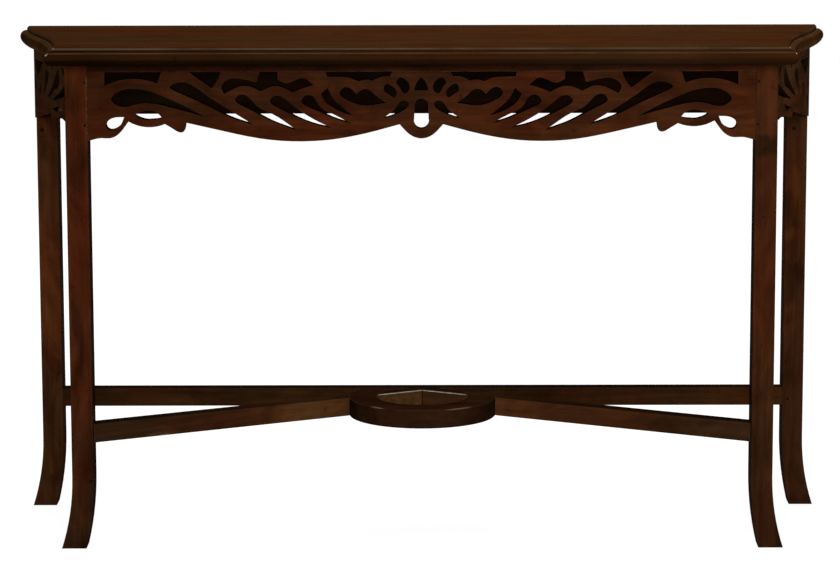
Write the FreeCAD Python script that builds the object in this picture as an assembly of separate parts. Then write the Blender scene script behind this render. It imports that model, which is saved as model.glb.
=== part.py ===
import FreeCAD, Part
import math
import os

# Pier table of dark stained hardwood, in millimetres.
# X runs along the table, Y from front to back, Z up.
# The origin lies on the floor under the middle of the top.

# Top: edge-jointed planks, moulded on the front and the two canted ends
top_height = 785.0
top_thickness = 28.0
top_depth = 395.0
top_front_width = 1136.0
top_end_splay = 83.0
end_hollow = 10.0
end_turn_depth_share = 0.62
end_turn_splay_share = 0.54
nose_thickness = 21.5
nose_radius = 10.5
ovolo_width = 4.0
quirk_width = 0.6
plank_names = ["front", "middle", "rear"]
tongue_width = 22.0
tongue_thickness = 6.0
tongue_end_margin = 60.0

# Legs: square, with the feet swept outwards
leg_width = 34.0
leg_depth = 42.0
leg_arris_bevel = 1.0
front_overhang = 49.0
rear_overhang = 7.0
front_end_overhang = 25.0
rear_end_overhang = 29.0
toe_flare = 18.0
toe_flare_height = 112.0
heel_flare = 13.5
heel_flare_height = 114.0

# Front apron: a straight frieze rail over a pierced panel
frieze_height = 13.5
fret_height = 106.5
fret_thickness = 20.0
fret_setback = 0.6

# Canted end panels, pierced as a fan
fan_height = 116.0
fan_thickness = 16.0
fan_front_setback = 1.0
fan_rear_proud = 2.0

# Plain rear apron
rear_apron_height = 112.0
rear_apron_thickness = 18.0
rear_apron_setback = 10.0

# Stretchers and their ring, all of one height
stretcher_bottom = 165.5
stretcher_height = 29.5
stretcher_arris_radius = 1.0
rear_stretcher_thickness = 26.0
rear_stretcher_setback = 3.5
diagonal_thickness = 25.5
diagonal_setback = 12.5
apex_gap = 20.0
ring_outer_radius = 118.0
ring_inner_radius = 73.0
ring_centre_gap = 68.0

# Tenons, with a little room at the bottom of each mortise
tenon_thickness = 8.0
tenon_length = 20.0
tenon_shoulder = 12.0
stub_length = 14.0
stub_shoulder = 5.0
frieze_shoulder = 3.0
fan_tenon_thickness = 7.0
fan_tenon_wall = 7.0
fan_tenon_top_drop = 20.0
fan_tenon_height = 70.0
mortise_room = 1.0

# Pegs through the joints
peg_radius = 2.5
peg_proud = 0.4
peg_inset = 4.0
peg_tail = 3.0
fret_peg_drop = 16.0
fret_peg_rise = 25.0
lap_peg_radius = 2.4
lap_peg_room = 3.0

# Bearers and glue blocks under the top
bearer_width = 45.0
bearer_spacing = 540.0
bearer_tenon_length = 6.0
bearer_tenon_thickness = 6.0
glue_block_width = 12.0
glue_block_length = 60.0

# Countersunk wood screws
screw_radius = 2.2
screw_head_radius = 4.4
screw_head_depth = 2.6
top_screw_bite = 14.0
ring_screw_bite = 22.0
mitre_screw_bite = 13.0
ring_screw_spacing = 68.0

# Levels and planes that the pieces share
leg_height = top_height - top_thickness
top_rear_width = top_front_width + 2 * top_end_splay
top_front_y = -top_depth / 2
top_rear_y = top_depth / 2
front_leg_front_y = top_front_y + front_overhang
front_leg_rear_y = front_leg_front_y + leg_depth
rear_leg_rear_y = top_rear_y - rear_overhang
rear_leg_front_y = rear_leg_rear_y - leg_depth
front_leg_outer_x = top_front_width / 2 - front_end_overhang
front_leg_inner_x = front_leg_outer_x - leg_width
rear_leg_outer_x = top_rear_width / 2 - rear_end_overhang
rear_leg_inner_x = rear_leg_outer_x - leg_width
fret_front_y = front_leg_front_y + fret_setback
fret_rear_y = fret_front_y + fret_thickness
fret_middle_y = fret_front_y + fret_thickness / 2
fret_top_z = leg_height - frieze_height
fret_bottom_z = fret_top_z - fret_height
rear_apron_rear_y = rear_leg_rear_y - rear_apron_setback
rear_apron_front_y = rear_apron_rear_y - rear_apron_thickness
rear_apron_middle_y = rear_apron_rear_y - rear_apron_thickness / 2
rear_apron_bottom_z = leg_height - rear_apron_height
stretcher_top_z = stretcher_bottom + stretcher_height
stretcher_middle_z = stretcher_bottom + stretcher_height / 2
stretcher_front_y = rear_leg_front_y + rear_stretcher_setback
stretcher_rear_y = stretcher_front_y + rear_stretcher_thickness
stretcher_middle_y = stretcher_front_y + rear_stretcher_thickness / 2
ring_centre_y = stretcher_front_y - ring_centre_gap
reach = top_rear_width + top_depth


def vector(x, y, z):
    return FreeCAD.Vector(x, y, z)


def box(x_low, x_high, y_low, y_high, z_low, z_high):
    return Part.makeBox(x_high - x_low, y_high - y_low, z_high - z_low, vector(x_low, y_low, z_low))


def mirrored(shape):
    return shape.mirror(vector(0, 0, 0), vector(1, 0, 0))


def rod(start, end, radius):
    return Part.makeCylinder(radius, (end - start).Length, start, end - start)


def line(start, end):
    return Part.LineSegment(start, end).toShape()


def screw(head_centre, tip):
    """A countersunk wood screw from the middle of its head face to its tip."""
    way = tip - head_centre
    head = Part.makeCone(screw_head_radius, screw_radius, screw_head_depth, head_centre, way)
    return rod(head_centre, tip, screw_radius).fuse(head).removeSplitter()


def cut_all(shape, tools):
    for tool in tools:
        shape = shape.cut(tool)
    return shape


# Each point of an outline is a pair of shares, and a third entry marks a sharp corner
SHARP = True


def heading(start, end):
    return (end - start).normalize()


def curve_through(points):
    """A line, an arc or a smooth curve, by the number of points it has to pass."""
    if len(points) == 2:
        return line(points[0], points[1])
    if len(points) == 3:
        return Part.Arc(points[0], points[1], points[2]).toShape()
    curve = Part.BSplineCurve()
    curve.interpolate(points, InitialTangent=heading(points[0], points[1]),
                      FinalTangent=heading(points[-2], points[-1]), Scale=False)
    return curve.toShape()


def closed_outline(shares, place):
    """A closed wire through share points, smooth between its sharp corners."""
    corners = [index for index, point in enumerate(shares) if len(point) > 2]
    if not corners:
        curve = Part.BSplineCurve()
        curve.interpolate([place(point[0], point[1]) for point in shares], PeriodicFlag=True)
        return Part.Wire([curve.toShape()])
    turned = shares[corners[0]:] + shares[:corners[0] + 1]
    edges = []
    run = [place(turned[0][0], turned[0][1])]
    for point in turned[1:]:
        run.append(place(point[0], point[1]))
        if len(point) > 2:
            edges.append(curve_through(run))
            run = [run[-1]]
    return Part.Wire(edges)


def board(outer, openings, thickness_way):
    face = Part.makeFace([outer] + openings, "Part::FaceMakerBullseye")
    return face.extrude(thickness_way)


# The top's edge moulding, from the upper arris down to the underside
FULL_TURN = 360


def top_section(nose_point, inward, slab_depth):
    """The section of the moulded slab behind one point of its edge."""
    def at(inset, drop):
        return nose_point + inward * inset + vector(0, 0, -drop)

    step = top_thickness - nose_thickness
    arris_inset = nose_radius + quirk_width + ovolo_width
    quirk_inset = nose_radius + quirk_width
    diagonal = math.sqrt(0.5)
    bulge_inset = arris_inset - ovolo_width * diagonal
    bulge_drop = step * (1 - diagonal)
    round_inset = nose_radius * (1 - diagonal)
    lower_start = top_thickness - nose_radius
    edges = [
        curve_through([at(arris_inset, 0), at(bulge_inset, bulge_drop), at(quirk_inset, step)]),
        line(at(quirk_inset, step), at(nose_radius, step)),
        curve_through([at(nose_radius, step), at(round_inset, step + round_inset),
                       at(0, step + nose_radius)]),
        line(at(0, step + nose_radius), at(0, lower_start)),
        curve_through([at(0, lower_start), at(round_inset, top_thickness - round_inset),
                       at(nose_radius, top_thickness)]),
        line(at(nose_radius, top_thickness), at(slab_depth, top_thickness)),
        line(at(slab_depth, top_thickness), at(slab_depth, 0)),
        line(at(slab_depth, 0), at(arris_inset, 0)),
    ]
    return Part.Face(Part.Wire(edges))


def to_the_left(way):
    """The level direction square to another one, on its left."""
    return vector(-way.y, way.x, 0)


def moulded_right_end():
    """The slab within the right end, whose edge is hollow at the front and swells towards the rear."""
    front_corner = vector(top_front_width / 2, top_front_y, top_height)
    rear_corner = front_corner + vector(top_end_splay, top_depth, 0)
    turn = front_corner + vector(top_end_splay * end_turn_splay_share, top_depth * end_turn_depth_share, 0)
    front_chord = turn - front_corner
    rear_chord = rear_corner - turn
    half_bend = 2 * math.atan(2 * end_hollow / front_chord.Length)
    upward = vector(0, 0, 1)
    along = FreeCAD.Rotation(upward, -math.degrees(half_bend)).multVec(front_chord).normalize()
    inward = to_the_left(along)
    hollow_radius = front_chord.Length / (2 * math.sin(half_bend))
    swell_radius = rear_chord.Length / (2 * math.sin(rear_chord.getAngle(along)))
    hollow = top_section(turn, inward, reach).revolve(turn - inward * hollow_radius, upward, FULL_TURN)
    swell = top_section(turn, inward, swell_radius).revolve(turn + inward * swell_radius, upward, FULL_TURN)
    rear_half = box(-reach, reach, 0, reach, -reach, reach)
    side_angle = math.degrees(math.atan2(-along.x, along.y))
    rear_half.Placement = FreeCAD.Placement(turn, FreeCAD.Rotation(upward, side_angle))
    return hollow.cut(rear_half).fuse(swell.common(rear_half)).removeSplitter()


def whole_top():
    front_edge = top_section(vector(-reach, top_front_y, top_height), vector(0, 1, 0), reach)
    front = front_edge.extrude(vector(2 * reach, 0, 0))
    right = moulded_right_end()
    behind = box(-reach, reach, -reach, top_rear_y, 0, reach)
    return front.common(right).common(mirrored(right)).common(behind).removeSplitter()


# Bearers run under the top from the frieze rail to the rear apron
bearer_x = bearer_spacing / 2
bearer_half = bearer_width / 2
bearer_middle_z = leg_height - frieze_height / 2
bearer_tenon_half = bearer_tenon_thickness / 2


def bearer_stubs(room):
    """The two stub tenons of a bearer, or with room their mortises."""
    low_z = bearer_middle_z - bearer_tenon_half
    high_z = bearer_middle_z + bearer_tenon_half
    left = bearer_x - bearer_half
    right = bearer_x + bearer_half
    length = bearer_tenon_length + room
    front = box(left, right, fret_rear_y - length, fret_rear_y, low_z, high_z)
    rear = box(left, right, rear_apron_front_y, rear_apron_front_y + length, low_z, high_z)
    return [front, rear]


plank_count = len(plank_names)
plank_depth = top_depth / plank_count
top_screws = []
for index in range(plank_count):
    plank_front_y = top_front_y + plank_depth * index
    held_from_y = max(plank_front_y, fret_rear_y)
    held_to_y = min(plank_front_y + plank_depth, rear_apron_front_y)
    screw_y = (held_from_y + held_to_y) / 2
    screw_head = vector(bearer_x, screw_y, fret_top_z)
    screw_tip = vector(bearer_x, screw_y, leg_height + top_screw_bite)
    top_screws.append(screw(screw_head, screw_tip))
top_screws += [mirrored(one_screw) for one_screw in top_screws]

right_bearer = box(bearer_x - bearer_half, bearer_x + bearer_half,
                   fret_rear_y, rear_apron_front_y, fret_top_z, leg_height)
for stub in bearer_stubs(0):
    right_bearer = right_bearer.fuse(stub)
bearer_mortises = bearer_stubs(mortise_room)
bearer_mortises += [mirrored(mortise) for mortise in bearer_mortises]
bearers = {"right": cut_all(right_bearer, top_screws), "left": cut_all(mirrored(right_bearer), top_screws)}

# The planks of the top, with a loose tongue in each joint between them
top_middle_z = top_height - top_thickness / 2
tongue_half_length = top_front_width / 2 - tongue_end_margin
tongues = []
for joint in range(1, plank_count):
    joint_y = top_front_y + plank_depth * joint
    tongues.append(box(-tongue_half_length, tongue_half_length,
                       joint_y - tongue_width / 2, joint_y + tongue_width / 2,
                       top_middle_z - tongue_thickness / 2, top_middle_z + tongue_thickness / 2))
slab_top = whole_top()
planks = []
for index in range(plank_count):
    plank_front_y = top_front_y + plank_depth * index
    strip = box(-reach, reach, plank_front_y, plank_front_y + plank_depth, 0, reach)
    planks.append(cut_all(slab_top.common(strip), tongues + top_screws))


# Legs: one outline in X and Z, with both sides of the foot swept outwards
def flare_points(start_x, y, flare, flare_height):
    """Start, middle and end of the arc that sweeps a leg's side out, past the floor by the leg's width."""
    radius = (flare_height * flare_height + flare * flare) / (2 * flare)
    whole_turn = math.asin((flare_height + leg_width) / radius)
    points = []
    for turn in (0, whole_turn / 2, whole_turn):
        out_x = start_x + radius * (1 - math.cos(turn))
        points.append(vector(out_x, y, flare_height - radius * math.sin(turn)))
    return points


def leg(inner_x, front_y):
    outer_top = vector(inner_x + leg_width, front_y, leg_height)
    inner_top = vector(inner_x, front_y, leg_height)
    toe = flare_points(inner_x + leg_width, front_y, toe_flare, toe_flare_height)
    heel = flare_points(inner_x, front_y, heel_flare, heel_flare_height)
    outline = Part.Wire([
        line(inner_top, outer_top),
        line(outer_top, toe[0]),
        curve_through(toe),
        line(toe[2], heel[2]),
        curve_through(heel),
        line(heel[0], inner_top),
    ])
    solid = Part.Face(outline).extrude(vector(0, leg_depth, 0))
    arrises = []
    for edge in solid.Edges:
        spread = edge.BoundBox
        if spread.YLength < leg_depth / 2 and spread.ZLength > leg_depth:
            arrises.append(edge)
    above_floor = box(-reach, reach, -reach, reach, 0, reach)
    return solid.makeChamfer(leg_arris_bevel, arrises).common(above_floor)


# Front apron: the frieze rail, and the pierced panel with its serpentine lower edge
lower_edge_shares = [
    (1.0, 0.0, SHARP), (1.0, 0.99, SHARP), (0.961, 0.948), (0.931, 0.948), (0.908, 0.894),
    (0.877, 0.71, SHARP), (0.82, 0.792), (0.768, 0.747, SHARP), (0.742, 0.822), (0.72, 0.868),
    (0.714, 0.862), (0.7045, 0.728, SHARP), (0.612, 0.829), (0.4545, 0.976), (0.3585, 1.0),
    (0.282, 0.981), (0.128, 0.839), (0.065, 0.756, SHARP), (0.05, 0.838), (0.03, 0.918), (0.0, 0.96),
]
corner_notch_shares = [
    (0.947, 0.0, SHARP), (0.777, 0.0, SHARP), (0.79, 0.165, SHARP), (0.868, 0.098),
    (0.947, 0.195, SHARP),
]
paisley_shares = [
    (0.647, 0.647, SHARP), (0.7, 0.508), (0.766, 0.362), (0.806, 0.284), (0.85, 0.243), (0.902, 0.272),
    (0.928, 0.395), (0.907, 0.487), (0.846, 0.455), (0.766, 0.49), (0.705, 0.568),
]
long_drop_shares = [
    (0.501, 0.766, SHARP), (0.556, 0.6), (0.65, 0.307), (0.69, 0.176), (0.724, 0.15), (0.752, 0.216),
    (0.73, 0.29), (0.65, 0.463), (0.565, 0.665),
]
dart_notch_shares = [
    (0.695, 0.0, SHARP), (0.6, 0.0, SHARP), (0.608, 0.11), (0.6275, 0.234, SHARP),
]
cloud_notch_shares = [
    (0.483, 0.0, SHARP), (0.4295, 0.0, SHARP), (0.4295, 0.108, SHARP), (0.406, 0.162), (0.379, 0.122),
    (0.35, 0.092), (0.322, 0.19, SHARP), (0.345, 0.222), (0.3855, 0.297, SHARP), (0.42, 0.216),
    (0.455, 0.222), (0.481, 0.28, SHARP), (0.51, 0.212), (0.547, 0.216), (0.5895, 0.316, SHARP),
    (0.598, 0.22), (0.582, 0.12), (0.547, 0.095), (0.492, 0.152, SHARP),
]
first_drop_shares = [
    (0.37, 0.848, SHARP), (0.449, 0.597), (0.493, 0.485), (0.522, 0.345), (0.543, 0.325), (0.557, 0.39),
    (0.527, 0.51), (0.443, 0.72),
]
second_drop_shares = [
    (0.266, 0.812, SHARP), (0.292, 0.755), (0.35, 0.602), (0.405, 0.4), (0.435, 0.34), (0.453, 0.405),
    (0.424, 0.528), (0.351, 0.7), (0.306, 0.772),
]
third_drop_shares = [
    (0.209, 0.748, SHARP), (0.267, 0.602), (0.305, 0.488), (0.322, 0.36), (0.341, 0.333), (0.359, 0.41),
    (0.324, 0.536), (0.255, 0.68),
]
blade_shares = [
    (0.28, 0.234, SHARP), (0.301, 0.316, SHARP), (0.286, 0.435), (0.259, 0.53), (0.232, 0.592),
    (0.205, 0.63, SHARP), (0.226, 0.55), (0.247, 0.465), (0.266, 0.365),
]
lips_shares = [
    (0.194, 0.318, SHARP), (0.21, 0.243), (0.229, 0.222), (0.244, 0.295), (0.221, 0.408), (0.17, 0.485),
    (0.104, 0.45, SHARP), (0.133, 0.355), (0.163, 0.248), (0.18, 0.262),
]
bar_notch_shares = [
    (0.286, 0.0, SHARP), (0.087, 0.0, SHARP), (0.094, 0.07, SHARP), (0.126, 0.082), (0.145, 0.132, SHARP),
    (0.166, 0.116), (0.187, 0.142, SHARP), (0.213, 0.09), (0.245, 0.074), (0.282, 0.072, SHARP),
]
outer_lozenge_shares = [
    (0.112, 0.226), (0.103, 0.174), (0.09, 0.198), (0.074, 0.31), (0.08, 0.368), (0.095, 0.33),
]
inner_lozenge_shares = [
    (0.073, 0.126), (0.061, 0.084), (0.048, 0.11), (0.037, 0.265), (0.05, 0.312), (0.066, 0.215),
]
leaf_shares = [
    (0.117, 0.674, SHARP), (0.088, 0.575), (0.07, 0.475), (0.056, 0.417), (0.038, 0.456), (0.046, 0.53),
    (0.067, 0.592), (0.093, 0.645),
]
foot_drop_shares = [
    (0.89, 0.645, SHARP), (0.912, 0.648), (0.933, 0.68), (0.945, 0.765), (0.936, 0.826), (0.917, 0.818),
    (0.899, 0.745),
]
eye_shares = [
    (0.779, 0.645), (0.8, 0.565), (0.838, 0.566), (0.857, 0.612), (0.835, 0.674), (0.797, 0.682),
]
paired_opening_shares = [
    paisley_shares, long_drop_shares, first_drop_shares, second_drop_shares, third_drop_shares,
    blade_shares, lips_shares, outer_lozenge_shares, inner_lozenge_shares, leaf_shares,
    foot_drop_shares, eye_shares,
]
notch_shares = [corner_notch_shares, dart_notch_shares, cloud_notch_shares, bar_notch_shares]
middle_arch_shares = [
    (0.0, 0.078, SHARP), (0.0145, 0.165), (0.021, 0.27, SHARP), (-0.021, 0.27, SHARP), (-0.0145, 0.165),
]
middle_slot_shares = [
    (0.0205, 0.47, SHARP), (0.0, 0.384), (-0.0205, 0.47, SHARP), (-0.0215, 0.68, SHARP), (0.0, 0.82),
    (0.0215, 0.68, SHARP),
]


def fret_place(across, down):
    return vector(across * front_leg_inner_x, fret_front_y, fret_top_z - down * fret_height)


def other_half(shares):
    return [(-point[0],) + tuple(point[1:]) for point in shares]


fret_way = vector(0, fret_thickness, 0)
whole_edge_shares = lower_edge_shares + other_half(lower_edge_shares[:-1])[::-1]
fret_openings = [closed_outline(shares, fret_place) for shares in (middle_arch_shares, middle_slot_shares)]
for shares in paired_opening_shares:
    fret_openings.append(closed_outline(shares, fret_place))
    fret_openings.append(closed_outline(other_half(shares), fret_place))
fret_panel = board(closed_outline(whole_edge_shares, fret_place), fret_openings, fret_way)
for shares in notch_shares:
    for half_shares in (shares, other_half(shares)):
        notch = Part.Face(closed_outline(half_shares, fret_place)).extrude(fret_way)
        fret_panel = fret_panel.cut(notch)
frieze_rail = box(-front_leg_inner_x, front_leg_inner_x, fret_front_y, fret_rear_y, fret_top_z, leg_height)


def right_tenon(shoulder_x, length, middle_y, low_z, high_z):
    half_thick = tenon_thickness / 2
    return box(shoulder_x, shoulder_x + length, middle_y - half_thick, middle_y + half_thick, low_z, high_z)


def fret_tenon(room):
    return right_tenon(front_leg_inner_x, tenon_length + room, fret_middle_y,
                       fret_bottom_z + tenon_shoulder, fret_top_z - tenon_shoulder)


def frieze_tenon(room):
    return right_tenon(front_leg_inner_x, stub_length + room, fret_middle_y,
                       fret_top_z + frieze_shoulder, leg_height - frieze_shoulder)


fret_panel = fret_panel.fuse(fret_tenon(0)).fuse(mirrored(fret_tenon(0)))
frieze_rail = frieze_rail.fuse(frieze_tenon(0)).fuse(mirrored(frieze_tenon(0)))
frieze_rail = cut_all(frieze_rail, bearer_mortises)

# Canted end panels: petals rise to the front from a hub at the lower rear corner
fan_edge_shares = [
    (0.0, 0.0, SHARP), (1.0, 0.0, SHARP), (1.0, 1.0, SHARP), (0.76, 0.915), (0.525, 0.815, SHARP),
    (0.49, 0.888, SHARP), (0.36, 0.85), (0.23, 0.806, SHARP), (0.11, 0.83), (0.0, 0.86, SHARP),
]
fan_opening_shares = [
    [(0.07, 0.31, SHARP), (0.21, 0.44), (0.33, 0.53), (0.49, 0.645, SHARP), (0.07, 0.49, SHARP)],
    [(0.27, 0.185), (0.36, 0.28), (0.46, 0.435), (0.535, 0.535), (0.6, 0.62, SHARP), (0.515, 0.575),
     (0.4, 0.48), (0.25, 0.3)],
    [(0.615, 0.245), (0.672, 0.36), (0.71, 0.62, SHARP), (0.6, 0.43), (0.565, 0.31)],
    [(0.795, 0.46, SHARP), (0.838, 0.55), (0.85, 0.66, SHARP), (0.8, 0.57)],
    [(0.72, 0.17, SHARP), (0.965, 0.17, SHARP), (0.94, 0.27), (0.873, 0.38, SHARP), (0.8, 0.27)],
    [(0.17, 0.095, SHARP), (0.158, 0.17), (0.11, 0.235, SHARP), (0.122, 0.16)],
    [(0.475, 0.115, SHARP), (0.478, 0.165), (0.455, 0.215, SHARP), (0.443, 0.165)],
    [(0.267, 0.66, SHARP), (0.47, 0.745, SHARP), (0.34, 0.768, SHARP)],
    [(0.955, 0.44, SHARP), (0.978, 0.52), (0.965, 0.61, SHARP), (0.94, 0.53)],
    [(0.925, 0.68, SHARP), (0.958, 0.74), (0.968, 0.85, SHARP), (0.94, 0.78)],
]
fan_front_x = front_leg_outer_x - fan_front_setback
fan_rear_x = rear_leg_outer_x + fan_rear_proud
fan_run = rear_leg_front_y - front_leg_rear_y
fan_slant = math.hypot(fan_run, fan_rear_x - fan_front_x) / fan_run
fan_way = vector(-fan_thickness * fan_slant, 0, 0)


def fan_place(along, down):
    return vector(fan_front_x + (fan_rear_x - fan_front_x) * along, front_leg_rear_y + fan_run * along,
                  leg_height - down * fan_height)


def fan_tenons(room):
    """The end panel's tenons into the front leg and the rear leg."""
    high_z = leg_height - fan_tenon_top_drop
    low_z = high_z - fan_tenon_height
    length = stub_length + room
    front_x = front_leg_outer_x - fan_tenon_wall
    rear_x = rear_leg_outer_x - fan_tenon_wall
    front = box(front_x - fan_tenon_thickness, front_x,
                front_leg_rear_y - length, front_leg_rear_y, low_z, high_z)
    rear = box(rear_x - fan_tenon_thickness, rear_x,
               rear_leg_front_y, rear_leg_front_y + length, low_z, high_z)
    return [front, rear]


fan_panel = board(closed_outline(fan_edge_shares, fan_place),
                  [closed_outline(shares, fan_place) for shares in fan_opening_shares], fan_way)
for tenon in fan_tenons(0):
    fan_panel = fan_panel.fuse(tenon)

# Rear apron: a plain board between the rear legs
rear_apron = box(-rear_leg_inner_x, rear_leg_inner_x, rear_apron_front_y, rear_apron_rear_y,
                 rear_apron_bottom_z, leg_height)


def rear_apron_tenon(room):
    return right_tenon(rear_leg_inner_x, stub_length + room, rear_apron_middle_y,
                       rear_apron_bottom_z + tenon_shoulder, leg_height - tenon_shoulder)


rear_apron = rear_apron.fuse(rear_apron_tenon(0)).fuse(mirrored(rear_apron_tenon(0)))
rear_apron = cut_all(rear_apron, bearer_mortises)


# Stretchers: a straight one at the rear, and two diagonals that meet in front of it
long_arris_share = 0.75


def eased(solid, radius):
    """Rounds the long arrises of a straight rail."""
    long_enough = max(edge.Length for edge in solid.Edges) * long_arris_share
    return solid.makeFillet(radius, [edge for edge in solid.Edges if edge.Length > long_enough])


def stretcher_tenon(shoulder_x, middle_y, room):
    return right_tenon(shoulder_x, stub_length + room, middle_y,
                       stretcher_bottom + stub_shoulder, stretcher_top_z - stub_shoulder)


rear_stretcher = eased(box(-rear_leg_inner_x, rear_leg_inner_x, stretcher_front_y, stretcher_rear_y,
                           stretcher_bottom, stretcher_top_z), stretcher_arris_radius)
rear_stretcher_tenon = stretcher_tenon(rear_leg_inner_x, stretcher_middle_y, 0)
rear_stretcher = rear_stretcher.fuse(rear_stretcher_tenon).fuse(mirrored(rear_stretcher_tenon))

diagonal_front_y = front_leg_front_y + diagonal_setback
apex_y = stretcher_front_y - apex_gap
diagonal_slope = (apex_y - diagonal_front_y) / front_leg_inner_x
diagonal_depth = diagonal_thickness * math.hypot(1, diagonal_slope)
diagonal_middle_y = diagonal_front_y + diagonal_depth / 2
tail_half_width = max(apex_y + diagonal_depth - stretcher_front_y, 0) / diagonal_slope
diagonal_plan = [(front_leg_inner_x, diagonal_front_y), (0, apex_y)]
if tail_half_width > 0:
    diagonal_plan += [(0, stretcher_front_y), (tail_half_width, stretcher_front_y)]
else:
    diagonal_plan += [(0, apex_y + diagonal_depth)]
diagonal_plan += [(front_leg_inner_x, diagonal_front_y + diagonal_depth)]
diagonal_points = [vector(x, y, stretcher_bottom) for x, y in diagonal_plan]
diagonal_face = Part.Face(Part.makePolygon(diagonal_points + diagonal_points[:1]))
right_diagonal = eased(diagonal_face.extrude(vector(0, 0, stretcher_height)), stretcher_arris_radius)

# The ring lies level with the stretchers, halved over the diagonals
ring_foot = vector(0, ring_centre_y, stretcher_bottom)
ring_disc = Part.makeCylinder(ring_outer_radius, stretcher_height, ring_foot)
ring_rims = [edge for edge in ring_disc.Edges if edge.Length > 2 * ring_outer_radius]
ring_disc = ring_disc.makeFillet(stretcher_arris_radius, ring_rims)
ring_hole = Part.makeCylinder(ring_inner_radius, stretcher_height, ring_foot)
ring = ring_disc.cut(ring_hole)
ring = ring.common(box(-reach, reach, -reach, stretcher_front_y, 0, reach))
lower_half = box(-reach, reach, -reach, reach, 0, stretcher_middle_z)
upper_half = box(-reach, reach, -reach, reach, stretcher_middle_z, reach)
band = Part.makeCylinder(ring_outer_radius, stretcher_height, ring_foot).cut(ring_hole)
full_face = diagonal_face.extrude(vector(0, 0, stretcher_height))
lap_lower = full_face.common(lower_half)
ring = ring.cut(lap_lower).cut(mirrored(lap_lower))
right_diagonal = right_diagonal.cut(band.common(upper_half))
diagonal_tenon = stretcher_tenon(front_leg_inner_x, diagonal_middle_y, 0)
right_diagonal = right_diagonal.fuse(diagonal_tenon)

# Pegs, driven from the faces where they show
def face_peg(x, z, face_y, inward, depth):
    """A peg driven square into a front or rear face."""
    start = vector(x, face_y - inward * peg_proud, z)
    return rod(start, vector(x, face_y + inward * depth, z), peg_radius)


def side_peg(face_x, y, z, depth):
    """A peg driven into an outer side face."""
    return rod(vector(face_x + peg_proud, y, z), vector(face_x - depth, y, z), peg_radius)


fret_peg_x = front_leg_inner_x + peg_inset
fret_peg_depth = fret_middle_y + tenon_thickness / 2 + peg_tail - front_leg_front_y
fret_pegs = [
    face_peg(fret_peg_x, fret_top_z - fret_peg_drop, front_leg_front_y, 1, fret_peg_depth),
    face_peg(fret_peg_x, fret_bottom_z + fret_peg_rise, front_leg_front_y, 1, fret_peg_depth),
]
fret_pegs += [mirrored(peg) for peg in fret_pegs]

fan_peg_shares = [0.25, 0.75]
fan_peg_depth = fan_tenon_wall + fan_tenon_thickness + peg_tail
fan_pegs = []
for peg_share in fan_peg_shares:
    peg_z = leg_height - fan_tenon_top_drop - fan_tenon_height * peg_share
    fan_pegs.append(side_peg(front_leg_outer_x, front_leg_rear_y - peg_inset, peg_z, fan_peg_depth))
    fan_pegs.append(side_peg(rear_leg_outer_x, rear_leg_front_y + peg_inset, peg_z, fan_peg_depth))
fan_pegs += [mirrored(peg) for peg in fan_pegs]

rear_peg_x = rear_leg_inner_x + peg_inset
rear_peg_depth = rear_leg_rear_y - rear_apron_middle_y + tenon_thickness / 2 + peg_tail
rear_apron_pegs = [
    face_peg(rear_peg_x, leg_height - tenon_shoulder - fret_peg_drop, rear_leg_rear_y, -1, rear_peg_depth),
    face_peg(rear_peg_x, rear_apron_bottom_z + fret_peg_rise, rear_leg_rear_y, -1, rear_peg_depth),
]
rear_apron_pegs += [mirrored(peg) for peg in rear_apron_pegs]

stretcher_peg_depth = rear_leg_rear_y - stretcher_middle_y + tenon_thickness / 2 + peg_tail
diagonal_peg_depth = front_leg_rear_y - diagonal_middle_y + tenon_thickness / 2 + peg_tail
stretcher_pegs = [
    face_peg(rear_peg_x, stretcher_middle_z, rear_leg_rear_y, -1, stretcher_peg_depth),
    face_peg(fret_peg_x, stretcher_middle_z, front_leg_rear_y, -1, diagonal_peg_depth),
]
stretcher_pegs += [mirrored(peg) for peg in stretcher_pegs]

# A peg pins each lap of the ring, where the band and the diagonal cross
band_radius = (ring_outer_radius + ring_inner_radius) / 2
centre_rise = apex_y + diagonal_depth / 2 - ring_centre_y
square_term = 1 + diagonal_slope * diagonal_slope
under_root = (centre_rise * diagonal_slope) ** 2 - square_term * (centre_rise ** 2 - band_radius ** 2)
lap_x = (centre_rise * diagonal_slope + math.sqrt(under_root)) / square_term
lap_y = apex_y + diagonal_depth / 2 - diagonal_slope * lap_x
lap_foot = vector(lap_x, lap_y, stretcher_bottom + lap_peg_room)
lap_head = vector(lap_x, lap_y, stretcher_top_z + peg_proud)
ring_pegs = [rod(lap_foot, lap_head, lap_peg_radius)]
ring_pegs += [mirrored(peg) for peg in ring_pegs]

# Screws through the rear stretcher hold the ring and the mitred tails
ring_screws = []
screw_bites = {-ring_screw_spacing: ring_screw_bite, 0: mitre_screw_bite, ring_screw_spacing: ring_screw_bite}
for screw_x, screw_bite in screw_bites.items():
    ring_screw_head = vector(screw_x, stretcher_rear_y, stretcher_middle_z)
    ring_screw_tip = vector(screw_x, stretcher_front_y - screw_bite, stretcher_middle_z)
    ring_screws.append(screw(ring_screw_head, ring_screw_tip))

# Legs with their mortises and peg holes
all_pegs = fret_pegs + fan_pegs + rear_apron_pegs + stretcher_pegs
fan_mortises = fan_tenons(mortise_room)
front_mortises = [fret_tenon(mortise_room), frieze_tenon(mortise_room), fan_mortises[0],
                  stretcher_tenon(front_leg_inner_x, diagonal_middle_y, mortise_room)]
rear_mortises = [rear_apron_tenon(mortise_room), fan_mortises[1],
                 stretcher_tenon(rear_leg_inner_x, stretcher_middle_y, mortise_room)]
front_leg = cut_all(leg(front_leg_inner_x, front_leg_front_y), front_mortises + all_pegs)
rear_leg = cut_all(leg(rear_leg_inner_x, rear_leg_front_y), rear_mortises + all_pegs)

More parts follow.
